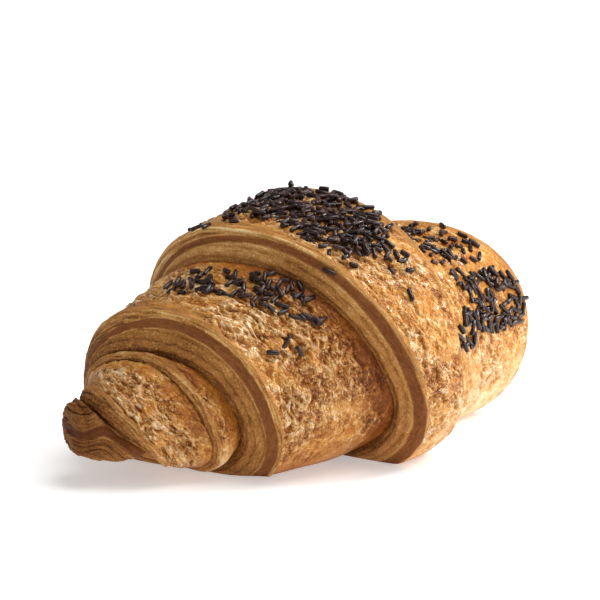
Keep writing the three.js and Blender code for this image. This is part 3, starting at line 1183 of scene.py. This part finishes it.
class MaterialSheet:
    """One node material, with a single method that adds any node to it."""

    def __init__(self, name: str) -> None:
        """Starts an empty material."""
        self.material = bpy.data.materials.new(name)
        self.material.use_nodes = True
        self.tree = self.material.node_tree
        self.tree.nodes.clear()

    def node(self, kind: str, settings: dict[str, object], inputs: Inputs) -> bpy.types.Node:
        """Adds a node.

        Args:
            kind: The node's type.
            settings: What is set on the node itself. stops are a ramp's places and colours.
            inputs: The values or links of its sockets, by name or number.

        Returns:
            The new node.
        """
        node = self.tree.nodes.new(kind)
        for name, value in settings.items():
            if name == "stops":
                self._set_stops(node.color_ramp, value)
            else:
                setattr(node, name, value)
        for name, value in inputs.items():
            if isinstance(value, Socket):
                self.tree.links.new(value.socket, node.inputs[name])
            elif isinstance(value, bpy.types.NodeSocket):
                self.tree.links.new(value, node.inputs[name])
            elif isinstance(value, tuple) and node.inputs[name].type == "RGBA":
                node.inputs[name].default_value = (*value[:3], 1.0)
            else:
                node.inputs[name].default_value = value
        return node

    def _set_stops(self, ramp: bpy.types.ColorRamp, stops: Sequence[tuple[float, Colour]]) -> None:
        """Gives a ramp its stops."""
        while len(ramp.elements) < len(stops):
            ramp.elements.new(1.0)
        for element, (place, colour) in zip(ramp.elements, stops):
            element.position = place
            element.color = (*colour, 1.0)

    def mask(self, name: str) -> Socket:
        """One of the piece's own float attributes."""
        node = self.node("ShaderNodeAttribute", {"attribute_name": name}, {})
        return Socket(self, node.outputs["Fac"])

    def noise(self, place: bpy.types.NodeSocket, grain: Grain) -> Socket:
        """Even noise about 0.5."""
        inputs = {"Vector": place, "Scale": grain.scale}
        inputs |= {"Detail": grain.detail, "Distortion": grain.bend}
        node = self.node("ShaderNodeTexNoise", {}, inputs)
        return Socket(self, node.outputs["Fac"])

    def ramp(self, value: Socket, stops: Sequence[tuple[float, Colour]]) -> bpy.types.NodeSocket:
        """A colour from a ramp."""
        return self.node("ShaderNodeValToRGB", {"stops": stops}, {0: value}).outputs["Color"]

    def mix(
        self, share: object, first: object, second: object, how: str = "MIX"
    ) -> bpy.types.NodeSocket:
        """A mix of two colours."""
        settings = {"data_type": "RGBA", "blend_type": how}
        return self.node("ShaderNodeMix", settings, {0: share, 6: first, 7: second}).outputs[2]

    def surface(self, inputs: Inputs) -> bpy.types.Material:
        """Ends the material in one Principled surface."""
        shader = self.node("ShaderNodeBsdfPrincipled", {}, inputs)
        self.node("ShaderNodeOutputMaterial", {}, {"Surface": shader.outputs["BSDF"]})
        return self.material


@dataclass(frozen=True)
class BakedDough:
    """The finish of the dough: egg-washed crust, cut layers and the cocoa layer.

    Patterns are laid out on the straightened roll, so their scales are features for each
    millimetre. Heights are in metres. The crust is ramped by how toasted it is and flushes
    here and there, and its crinkles catch the shine of the coat, the egg wash. On the
    crinkles the crumpled crests are painted paler and the creases darker, as painted
    highlight and painted shade, and the pale flecks are partly painted highlight and partly
    pale flakes. Raw dough is ramped by its tone. Its lines, line_stretch as dense round the
    roll as across the layers, change the tone by lines. Fine and broad grain change both.
    """

    name: str = "baked_dough"
    crust: tuple[tuple[float, Colour], ...] = (
        (0.00, srgb(255, 224, 182)),
        (0.20, srgb(240, 191, 127)),
        (0.40, srgb(212, 150, 72)),
        (0.58, srgb(178, 109, 41)),
        (0.78, srgb(136, 72, 23)),
        (1.00, srgb(88, 44, 14)),
    )
    layers: tuple[tuple[float, Colour], ...] = (
        (0.00, srgb(52, 34, 14)),
        (0.25, srgb(112, 67, 29)),
        (0.50, srgb(174, 117, 58)),
        (0.75, srgb(214, 162, 96)),
        (1.00, srgb(246, 216, 156)),
    )
    cocoa: Colour = srgb(106, 56, 24)
    cocoa_light: Colour = srgb(154, 95, 48)
    scorch: Colour = srgb(180, 160, 148)
    blush: Colour = srgb(188, 122, 88)
    crust_roughness: float = 0.42
    cut_roughness: float = 0.62
    shine: float = 0.12
    coat: float = 0.08
    coat_more: float = 1.10
    coat_roughness: float = 0.14
    crumple_height: float = 0.00020
    fleck_height: float = 0.00020
    grain_height: float = 0.00005
    lines: float = 0.12
    line_height: float = 0.00006
    speck_height: float = 0.00012
    line_stretch: float = 0.26
    crinkle_stretch: tuple[float, float, float] = (1.0, 0.55, 0.55)
    fine: Grain = Grain(2.4, 3.0)
    fine_toast: float = 0.12
    fine_tone: float = 0.36
    fine_rough: float = 0.35
    broad: Grain = Grain(0.16)
    broad_toast: float = 0.22
    broad_tone: float = 0.30
    crumple: Grain = Grain(1.05, 2.0, 1.2)
    crease: Grain = Grain(0.9, 1.0, 0.9)
    crinkle_light_and_shade: float = 0.22
    fleck: Grain = Grain(1.6, 1.5, 0.9)
    fleck_pale: float = 0.30
    speck: Grain = Grain(2.3, 2.0, 0.6)
    speck_tone: float = 0.20
    flushed: Grain = Grain(0.34)
    flush: float = 0.08
    pale_line: Grain = Grain(1.7, 2.0, 0.3)
    dark_line: Grain = Grain(1.3, 2.0, 0.3)
    thin_line: Grain = Grain(3.6, 2.0, 0.2)
    line_sharpness: float = 14.0

    def material(self) -> bpy.types.Material:
        """Makes the material."""
        sheet = MaterialSheet(self.name)
        place = sheet.node("ShaderNodeAttribute", {"attribute_name": "straight"}, {}).outputs["Vector"]
        stretched = sheet.node(
            "ShaderNodeVectorMath", {"operation": "MULTIPLY"}, {0: place, 1: self.crinkle_stretch}
        ).outputs[0]
        raw = sheet.mask("raw")
        crinkle = sheet.mask("crinkle")
        line = self._strata(sheet, place)
        fine = sheet.noise(place, self.fine)
        broad = sheet.noise(place, self.broad)
        crumple = sheet.noise(stretched, self.crumple).ridge(9.0)
        crease = sheet.noise(stretched, self.crease).ridge(10.0)
        fleck = sheet.noise(stretched, self.fleck).step(0.54, 0.66)
        toast = sheet.mask("toast") + self.fine_toast * (fine - 0.5)
        toast = toast + self.broad_toast * (broad - 0.5)
        # Painted shade in the creases of the crinkles and painted highlight on their crumpled crests.
        crest_light_and_crease_shade = self.crinkle_light_and_shade * (crease - 0.30) - self.crinkle_light_and_shade * (crumple - 0.42)
        toast = toast + crinkle * crest_light_and_crease_shade
        # Pale cream flecks on the crinkles, partly painted highlight and partly pale flakes.
        toast = toast - (0.04 + self.fleck_pale * crinkle) * (fleck - 0.16)
        speck = sheet.noise(place, self.speck).step(0.54, 0.66)
        tone = sheet.mask("tone") + self.fine_tone * (fine - 0.5)
        tone = tone + self.broad_tone * (broad - 0.5) + self.lines * line
        tone = tone + self.speck_tone * (speck - 0.2)
        flushed = sheet.noise(place, self.flushed).step(0.54, 0.70)
        crust = sheet.mix(self.flush * flushed, sheet.ramp(toast, self.crust), self.blush)
        layers = sheet.ramp(tone, self.layers)
        cocoa = sheet.mix(tone.step(0.20, 0.80), self.cocoa, self.cocoa_light)
        face = sheet.mix(sheet.mask("band"), layers, cocoa)
        colour = sheet.mix(raw, crust, face)
        colour = sheet.mix(sheet.mask("char"), colour, self.scorch, "MULTIPLY")
        roughness = self.crust_roughness + (self.cut_roughness - self.crust_roughness) * raw
        roughness = roughness + self.fine_rough * (fine - 0.5)
        height = self.crumple_height * crumple + self.fleck_height * (fleck - crease)
        height = crinkle * height + raw * (self.line_height * line + self.speck_height * speck)
        height = height * (1.0 / self.grain_height)
        coat = (self.coat + self.coat_more * crinkle * (0.20 + 0.80 * crumple)) * (1.0 - raw)
        coat = coat * (1.35 - 1.25 * toast).clamped()
        bump = sheet.node(
            "ShaderNodeBump",
            {},
            {"Strength": 1.0, "Distance": self.grain_height, "Height": height + 2.0 * fine},
        )
        return sheet.surface(
            {
                "Base Color": colour,
                "Roughness": roughness.clamped(),
                "Specular IOR Level": self.shine,
                "Coat Weight": coat.clamped(),
                "Coat Roughness": self.coat_roughness,
                "Normal": bump.outputs["Normal"],
            }
        )

    def _strata(self, sheet: MaterialSheet, place: bpy.types.NodeSocket) -> Socket:
        """Thin lines along the layers of raw dough: positive on pale ones, negative on dark."""
        parts = sheet.node("ShaderNodeSeparateXYZ", {}, {0: place})
        y, z = (self.line_stretch * Socket(sheet, parts.outputs[i]) for i in (1, 2))
        inputs = {0: sheet.mask("strata"), 1: y, 2: z}
        along = sheet.node("ShaderNodeCombineXYZ", {}, inputs).outputs[0]
        pale = sheet.noise(along, self.pale_line).ridge(self.line_sharpness)
        dark = sheet.noise(along, self.dark_line).ridge(self.line_sharpness)
        thin = sheet.noise(along, self.thin_line)
        return 0.6 * (pale - 0.3) - 0.25 * (dark - 0.3) + 1.3 * (thin - 0.5)


@dataclass(frozen=True)
class DarkChocolate:
    """The finish of the sprinkles: dark, satin chocolate with a dusty bloom."""

    name: str = "dark_chocolate"
    dark: Colour = srgb(36, 18, 14)
    bloom: Colour = srgb(86, 54, 46)
    roughness: float = 0.20
    shine: float = 0.42
    dust: Grain = Grain(900.0, 3.0)
    patch: Grain = Grain(260.0)
    dust_height: float = 0.00006

    def material(self) -> bpy.types.Material:
        """Makes the material."""
        sheet = MaterialSheet(self.name)
        place = sheet.node("ShaderNodeTexCoord", {}, {}).outputs["Object"]
        dust = sheet.noise(place, self.dust)
        patches = sheet.noise(place, self.patch)
        colour = sheet.mix((dust * patches).step(0.22, 0.42), self.dark, self.bloom)
        bump = sheet.node(
            "ShaderNodeBump", {}, {"Strength": 0.6, "Distance": self.dust_height, "Height": dust}
        )
        return sheet.surface(
            {
                "Base Color": colour,
                "Roughness": (self.roughness + 0.4 * (patches - 0.4)).clamped(),
                "Specular IOR Level": self.shine,
                "Normal": bump.outputs["Normal"],
            }
        )


@dataclass(frozen=True)
class PaleFloor:
    """The finish of the white table."""

    name: str = "pale_floor"
    colour: Colour = (0.8, 0.8, 0.8)
    glow: float = 0.40
    roughness: float = 0.7
    grain: Grain = Grain(40.0)

    def material(self) -> bpy.types.Material:
        """Makes the material."""
        sheet = MaterialSheet(self.name)
        place = sheet.node("ShaderNodeTexCoord", {}, {}).outputs["Object"]
        grain = sheet.noise(place, self.grain)
        roughness = self.roughness + 0.1 * (grain - 0.5)
        return sheet.surface(
            {
                "Base Color": self.colour,
                "Roughness": roughness,
                "Emission Color": (1.0, 1.0, 1.0),
                "Emission Strength": self.glow,
            }
        )


# ---- Sprinkles -----------------------------------------------------------------------


@dataclass(frozen=True)
class Patch:
    """A band of crust with sprinkles: from one place along the roll to another.

    It runs round the angle, which shifts by lean degrees for each millimetre from its
    middle, with the half width in degrees. count is how many sprinkles are aimed for, gap
    the least distance between two that lie on the same level, and stretch how much longer
    than usual they are.
    """

    wrap: str
    start: float
    stop: float
    angle: float
    lean: float
    half: float
    count: int
    gap: float
    stretch: float = 1.0


@dataclass
class Sprinkles:
    """Short rods of chocolate stuck to the crust, in millimetres.

    They sink into it by sunk. One that would touch another lies on it instead, pile
    higher, with the chance stack_chance, on so many levels. Each sprinkle of a patch is
    tried for so many tries.
    """

    name: str = "sprinkles"
    seed: int = 20411
    length: float = 2.9
    spread: float = 0.8
    thickness: float = 1.15
    thickness_spread: float = 0.13
    sides: int = 8
    rounding: float = 0.32
    sunk: float = 0.22
    pile: float = 0.75
    touch: float = 1.0
    levels: int = 3
    stack_chance: float = 0.25
    tries: int = 40
    reach: float = 0.6
    tuck: float = 0.5
    face_share: float = 0.3
    inner_radius: float = 8.0
    patches: tuple[Patch, ...] = (
        Patch("crown", -17.5, 4, 84, 0, 34, 320, 1.15),
        Patch("crown", -23, -19, 101, 1, 4, 6, 1.4),
        Patch("crown", -29, -24, 112, 1, 8, 4, 3.0),
        Patch("crown", -14, -11, 48, 0, 2, 1, 1.0),
        Patch("crown", -6, 1, 44, 0, 5, 7, 1.7),
        Patch("crown", -4, -2, 31, 0, 1, 1, 1.0),
        Patch("crown", -17.6, -16.6, 51, 0, 1, 1, 1.0),
        Patch("crown", -16, 5, 132, 0, 14, 18, 2.4),
        Patch("left_wrap", -41, -19, 68, -2.6, 15, 62, 1.3),
        Patch("left_wrap", -43, -36, 92, 0, 9, 7, 2.0),
        Patch("left_wrap", -32, -22, 29, -0.6, 4, 3, 3.0, 1.1),
        Patch("right_wrap", 19.5, 39, 25, 0, 14, 84, 1.3, 1.15),
        Patch("right_wrap", 15, 38, 57, 0.9, 19, 52, 1.9),
        Patch("right_wrap", 13.5, 19, 12, 0, 12, 14, 1.5, 1.2),
        Patch("right_wrap", 18, 36, 100, 0, 22, 22, 2.4),
    )

    def _spot(self, patch: Patch, wrap: DoughWrap, rng: np.random.Generator) -> tuple | None:
        """A random place in a patch, on the wrap's baked crust.

        Args:
            patch: The patch.
            wrap: The wrap it lies on, already baked.
            rng: The source of chance.

        Returns:
            The point and its normal, or None outside the patch or where the wrap is covered.
        """
        across, round_about = rng.uniform(-1.0, 1.0, 2)
        if abs(across) ** 3 + abs(round_about) ** 3 > 1.0:
            return None
        offset = across * (patch.stop - patch.start) / 2.0
        along = (patch.start + patch.stop) / 2.0 + offset
        turn = math.radians(patch.angle + patch.lean * offset + patch.half * round_about)
        column = round(turn / (2.0 * math.pi) * wrap.columns) % wrap.columns
        grid = wrap.grid
        outside = grid.share[:, column] > self.face_share
        outside &= grid.radius[:, column] > self.inner_radius
        off = np.where(outside, np.abs(grid.along[:, column] - along), FAR)
        row = int(np.argmin(off))
        if off[row] > self.reach or grid.tucked[row, column] < self.tuck:
            return None
        return wrap.points[row, column], wrap.normals[row, column]

    def _rod(
        self,
        shape: bmesh.types.BMesh,
        centre: Array,
        normal: Array,
        stretch: float,
        rng: np.random.Generator,
    ) -> None:
        """Adds one rod that lies on the crust in a random direction.

        Args:
            shape: The sprinkles' mesh, in millimetres.
            centre: The middle of the rod.
            normal: The crust's normal there.
            stretch: How much longer than usual it is.
            rng: The source of chance.
        """
        length = stretch * (self.length + self.spread * rng.uniform(-1.0, 1.0))
        thick = self.thickness + self.thickness_spread * rng.uniform(-1.0, 1.0)
        upright = Vector(normal)
        lying = Vector(rng.normal(size=3)).cross(upright).normalized()
        tilted = (lying + upright * rng.uniform(-0.18, 0.22)).normalized()
        turn = tilted.to_track_quat("Z", "Y").to_matrix().to_4x4()
        place = Matrix.Translation(Vector(centre)) @ turn
        bmesh.ops.create_cone(
            shape,
            cap_ends=True,
            segments=self.sides,
            radius1=thick / 2.0,
            radius2=thick / 2.0 * rng.uniform(0.9, 1.0),
            depth=length,
            matrix=place,
        )

    def _round_ends(self, shape: bmesh.types.BMesh) -> None:
        """Rounds the ends of all the rods."""
        caps = [face for face in shape.faces if len(face.verts) == self.sides]
        bmesh.ops.bevel(
            shape,
            geom=[edge for face in caps for edge in face.edges],
            offset=self.rounding,
            affect="EDGES",
            segments=2,
            profile=0.5,
            material=-1,
        )

    def build(
        self, wraps: dict[str, DoughWrap], shift: Array, material: bpy.types.Material
    ) -> bpy.types.Object:
        """Scatters and makes the sprinkles.

        Args:
            wraps: The baked wraps by name.
            shift: The move from the roll's frame to the solid's, in millimetres.
            material: The finish of the sprinkles.

        Returns:
            The finished piece.
        """
        rng = np.random.default_rng(self.seed)
        shape = bmesh.new()
        laid: list[tuple[Array, int]] = []
        for patch in self.patches:
            placed = 0
            for _ in range(patch.count * self.tries):
                spot = self._spot(patch, wraps[patch.wrap], rng)
                if spot is None or placed >= patch.count:
                    continue
                point, normal = spot
                far = [(np.linalg.norm(other - point), level) for other, level in laid]
                touched = [level for distance, level in far if distance < self.touch]
                level = 1 + max(touched) if touched else 0
                if not touched and any(distance < patch.gap for distance, _ in far):
                    continue
                if level >= self.levels or (level and rng.random() > self.stack_chance):
                    continue
                laid.append((point, level))
                placed += 1
                lift = self.thickness / 2.0 - self.sunk + level * self.pile
                self._rod(shape, point + normal * lift + shift, normal, patch.stretch, rng)
            log.info("%s on %s: %d sprinkles", self.name, patch.wrap, placed)
        self._round_ends(shape)
        bmesh.ops.scale(shape, vec=(MILLIMETRE,) * 3, verts=shape.verts)
        bmesh.ops.recalc_face_normals(shape, faces=shape.faces)
        mesh = bpy.data.meshes.new(self.name)
        shape.to_mesh(mesh)
        shape.free()
        return dress_piece(mesh, material)


# ---- The croissant -------------------------------------------------------------------


TIP_LAYERS = DoughLayers(
    ribbon=0.55,
    ribbon_height=0.16,
    streak=Mark((0.26, 7.0, 7.0), 0.14, 0.03),
    fleck=Mark((0.7, 1.5, 1.5), 0.16, 0.07),
    crack=Mark((0.39, 11.0, 11.0), 0.35, 0.17),
    crack_most=0.26,
    contrast=1.1,
    base=0.53,
    waviness=0.25,
    thinner=1.3,
    band_width=1.8,
    band_depth=7.0,
    seam=0.10,
)
NOSE_LAYERS = DoughLayers(ribbon=1.2, seam=0.12, contrast=1.5, base=0.45, banded=False, hollow=0.1)
CROWN_LAYERS = DoughLayers(
    ribbon_height=0.34,
    contrast=0.9,
    base=0.54,
    band_width=2.3,
    band_pinch=0.50,
    band_soft=0.25,
    rim=0.5,
    flaky=0.36,
    top_painted_light=0.14,
    foot_painted_shade=0.12,
    hollow=0.15,
    pinch_turn=88.0,
)
LEFT_LAYERS = DoughLayers(base=0.46, band_width=2.3, foot_painted_shade=0.06, hollow=0.30)
FLAP_LAYERS = DoughLayers(ribbon=1.2, ribbon_height=0.3, banded=False, hollow=0.1)
NOSE_BLISTERS = (
    Blister(-53.0, 62.0, 2.2, 2.6),
    Blister(-50.5, 38.0, 2.4, 2.0),
    Blister(-55.0, 30.0, 1.8, 2.2),
    Blister(-48.5, 12.0, 2.0, 2.8),
    Blister(-52.5, -4.0, 2.3, 2.2),
)
CROWN_BLISTERS = (
    Blister(-1.6, 29.0, 2.2, 4.2, 0.55, 0.02),
    Blister(-8.0, 12.0, 1.8, 2.6),
    Blister(2.5, -8.0, 1.6, 3.0),
)
LEFT_BLISTERS = (
    Blister(-24.0, 22.0, 1.3, 1.9, 0.35, 0.10),
    Blister(-31.0, 34.0, 2.4, 1.8),
    Blister(-21.0, -16.0, 2.8, 4.0, 0.4),
    Blister(-14.0, -24.0, 2.6, 3.4, 0.4),
)


def dough_wraps() -> list[DoughWrap]:
    """The wraps of the croissant, from the left tip to the right."""
    cut, tucked, tip = EndKind.CUT, EndKind.TUCKED, EndKind.TIP
    # The cove term of these wraps darkens a crust beside the wrap that covers it, partly painted shade
    # and partly browning; a pale below zero, on the left nose and left wrap, paints the lower side
    # darker, as painted shade.
    left_tip = DoughWrap(
        "left_tip", None, tip, End.LEFT_TIP, tucked, 1, 260, 60, 40,
        bulge=1.4, undercut=-4.0, layers=TIP_LAYERS,
    )
    left_nose = DoughWrap(
        "left_nose", End.LEFT_TIP, cut, End.LEFT_FLAP, tucked, 2, 360, 72, 36,
        brown=0.40, wrinkled=1.2, pale=-0.04, cove_shade_and_browning=0.12, undercut=-0.9,
        blisters=NOSE_BLISTERS, layers=NOSE_LAYERS, skin=CrustSkin(fold_painted_light=0.36, calm=0.12),
    )
    left_flap = DoughWrap(
        "left_flap", End.LEFT_FLAP, cut, End.LEFT_WRAP, tucked, 3, 380, 40, 16,
        brown=0.50, wrinkled=1.1, pale=0.46, pale_height=13.0, cove_shade_and_browning=0.16, layers=FLAP_LAYERS,
    )
    left_wrap = DoughWrap(
        "left_wrap", End.LEFT_WRAP, cut, End.CROWN_LEFT, tucked, 4, 480, 124, 60,
        brown=0.43, wrinkled=1.1, pale=-0.06, mottle=0.6, cove_shade_and_browning=0.40, undercut=1.3,
        blisters=LEFT_BLISTERS, layers=LEFT_LAYERS, skin=CrustSkin(fold_painted_light=0.40),
    )
    crown = DoughWrap(
        "crown", End.CROWN_LEFT, cut, End.CROWN_RIGHT, cut, 5, 490, 110, 40,
        brown=0.43, wrinkled=1.15, pale=0.09, mottle=0.5,
        blisters=CROWN_BLISTERS, layers=CROWN_LAYERS, skin=CrustSkin(fold_painted_light=0.30),
    )
    right_wrap = DoughWrap(
        "right_wrap", End.CROWN_RIGHT, tucked, End.RIGHT_WRAP, cut, 6, 400, 96, 50,
        brown=0.47, wrinkled=0.85, pale=0.30, pale_height=30.0, mottle=0.35, cove_shade_and_browning=0.08,
    )
    right_flap = DoughWrap(
        "right_flap", End.RIGHT_WRAP, tucked, End.RIGHT_FLAP, cut, 7, 380, 50, 16,
        brown=0.46, wrinkled=0.6, layers=FLAP_LAYERS,
    )
    right_nose = DoughWrap(
        "right_nose", End.RIGHT_FLAP, tucked, End.RIGHT_TIP, cut, 8, 340, 60, 32,
        wrinkled=0.8, layers=NOSE_LAYERS,
    )
    right_tip = DoughWrap(
        "right_tip", End.RIGHT_TIP, tucked, None, tip, 9, 260, 50, 40,
        bulge=1.4, layers=TIP_LAYERS,
    )
    left_side = [left_tip, left_nose, left_flap, left_wrap]
    return [*left_side, crown, right_wrap, right_flap, right_nose, right_tip]


@dataclass
class Croissant:
    """The whole croissant: its wraps, from the left tip to the right, and its sprinkles."""

    wraps: list[DoughWrap] = field(default_factory=dough_wraps)
    sprinkles: Sprinkles = field(default_factory=Sprinkles)
    dough: BakedDough = BakedDough()
    chocolate: DarkChocolate = DarkChocolate()

    def shift(self) -> Array:
        """The move from the roll's frame to the solid's, in millimetres."""
        corners = [wrap.lay_out().plain_points().reshape(-1, 3).min(axis=0) for wrap in self.wraps]
        low = np.min(corners, axis=0)
        solid = np.array(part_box(NODE)[0]) / MILLIMETRE
        return np.array([solid[0] - low[0], solid[1] - low[1], 0.0])

    def build(self) -> Array:
        """Makes every piece and returns the move from the roll's frame, in millimetres."""
        shift = self.shift()
        log.info("moved into the solid's box by %s mm", np.round(shift, 2))
        material = self.dough.material()
        for wrap in self.wraps:
            piece = wrap.build(shift, material)
            log.info("%s: %d faces", piece.name, len(piece.data.polygons))
        wraps = {wrap.name: wrap for wrap in self.wraps}
        piece = self.sprinkles.build(wraps, shift, self.chocolate.material())
        log.info("%s: %d faces", piece.name, len(piece.data.polygons))
        return shift


# ---- Studio --------------------------------------------------------------------------


@dataclass(frozen=True)
class SoftLamp:
    """A square lamp that points at the croissant, with its reach and size in metres."""

    name: str
    azimuth: float
    elevation: float
    reach: float
    power: float
    size: float


@dataclass
class Studio:
    """The white table, the soft lights and the camera at the photograph's angle.

    Angles are in degrees. The camera's distance and target are in millimetres, on the
    roll's frame, and the table's sizes in metres.
    """

    floor_size: float = 60.0
    floor_gap: float = 0.0001
    azimuth: float = -42.615
    elevation: float = 13.579
    distance: float = 760.0
    target: tuple[float, float, float] = (6.824, 12.739, 31.571)
    focal_pixels: float = 3068.3
    picture_width: float = 600.0
    sensor: float = 36.0
    sky: Colour = (1.0, 1.0, 1.0)
    sky_strength: float = 0.32
    key_strength: float = 2.12
    key_azimuth: float = 42.0
    key_elevation: float = 70.0
    key_spread: float = 40.0
    soft_lamps: tuple[SoftLamp, ...] = (
        SoftLamp("fill", 36.0, 18.0, 1.2, 5.0, 0.7),
        SoftLamp("sparkle", 56.0, 38.0, 0.6, 1.7, 0.12),
    )
    floor: PaleFloor = PaleFloor()

    def _direction(self, azimuth: float, elevation: float) -> Vector:
        """The direction from the croissant to a place in the studio."""
        turn, lift = math.radians(azimuth), math.radians(elevation)
        return Vector(
            (math.sin(turn) * math.cos(lift), -math.cos(turn) * math.cos(lift), math.sin(lift))
        )

    def _table(self) -> None:
        """Lays the white table."""
        shape = bmesh.new()
        bmesh.ops.create_grid(shape, x_segments=8, y_segments=8, size=self.floor_size / 2.0)
        bmesh.ops.translate(shape, vec=(0.0, 0.0, -self.floor_gap), verts=shape.verts)
        mesh = bpy.data.meshes.new("table")
        shape.to_mesh(mesh)
        shape.free()
        mesh.materials.append(self.floor.material())
        table = bpy.data.objects.new("table", mesh)
        bpy.context.scene.collection.objects.link(table)

    def _sky(self) -> None:
        """Lights the room evenly."""
        world = bpy.data.worlds.new("studio")
        world.use_nodes = True
        background = world.node_tree.nodes["Background"]
        background.inputs["Color"].default_value = (*self.sky, 1.0)
        background.inputs["Strength"].default_value = self.sky_strength
        bpy.context.scene.world = world

    def _lamp(
        self, name: str, kind: str, azimuth: float, elevation: float, reach: float
    ) -> bpy.types.Object:
        """Hangs a lamp that points at the croissant.

        Args:
            name: The lamp's name.
            kind: The light's type.
            azimuth: Its turn round the croissant.
            elevation: Its angle above the table.
            reach: Its distance.

        Returns:
            The lamp.
        """
        lamp = bpy.data.objects.new(name, bpy.data.lights.new(name, kind))
        towards = self._direction(azimuth, elevation)
        lamp.location = towards * reach
        lamp.rotation_euler = towards.to_track_quat("Z", "Y").to_euler()
        bpy.context.scene.collection.objects.link(lamp)
        return lamp

    def _lamps(self) -> None:
        """Hangs the broad key light and the soft lamps."""
        key = self._lamp("key", "SUN", self.key_azimuth, self.key_elevation, 1.0)
        key.data.energy = self.key_strength
        key.data.angle = math.radians(self.key_spread)
        for soft in self.soft_lamps:
            lamp = self._lamp(soft.name, "AREA", soft.azimuth, soft.elevation, soft.reach)
            lamp.data.energy = soft.power
            lamp.data.size = soft.size

    def _camera(self, shift: Array) -> None:
        """Sets the camera up as in the photograph."""
        lens = bpy.data.cameras.new("camera")
        lens.sensor_width = self.sensor
        lens.lens = self.focal_pixels / self.picture_width * self.sensor
        camera = bpy.data.objects.new("camera", lens)
        back = self._direction(self.azimuth, self.elevation)
        target = Vector(self.target) + Vector(shift)
        camera.location = (target + back * self.distance) * MILLIMETRE
        camera.rotation_euler = back.to_track_quat("Z", "Y").to_euler()
        bpy.context.scene.collection.objects.link(camera)
        bpy.context.scene.camera = camera

    def build(self, shift: Array) -> None:
        """Makes the studio round the croissant.

        Args:
            shift: The move from the roll's frame to the solid's, in millimetres.
        """
        self._table()
        self._sky()
        self._lamps()
        self._camera(shift)
        bpy.context.scene.view_settings.view_transform = "Standard"


def main() -> None:
    """Builds the croissant and its studio."""
    logging.basicConfig(level=logging.INFO, format="%(name)s: %(message)s")
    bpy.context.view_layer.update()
    shift = Croissant().build()
    Studio().build(shift)


if __name__ == "__main__":
    main()
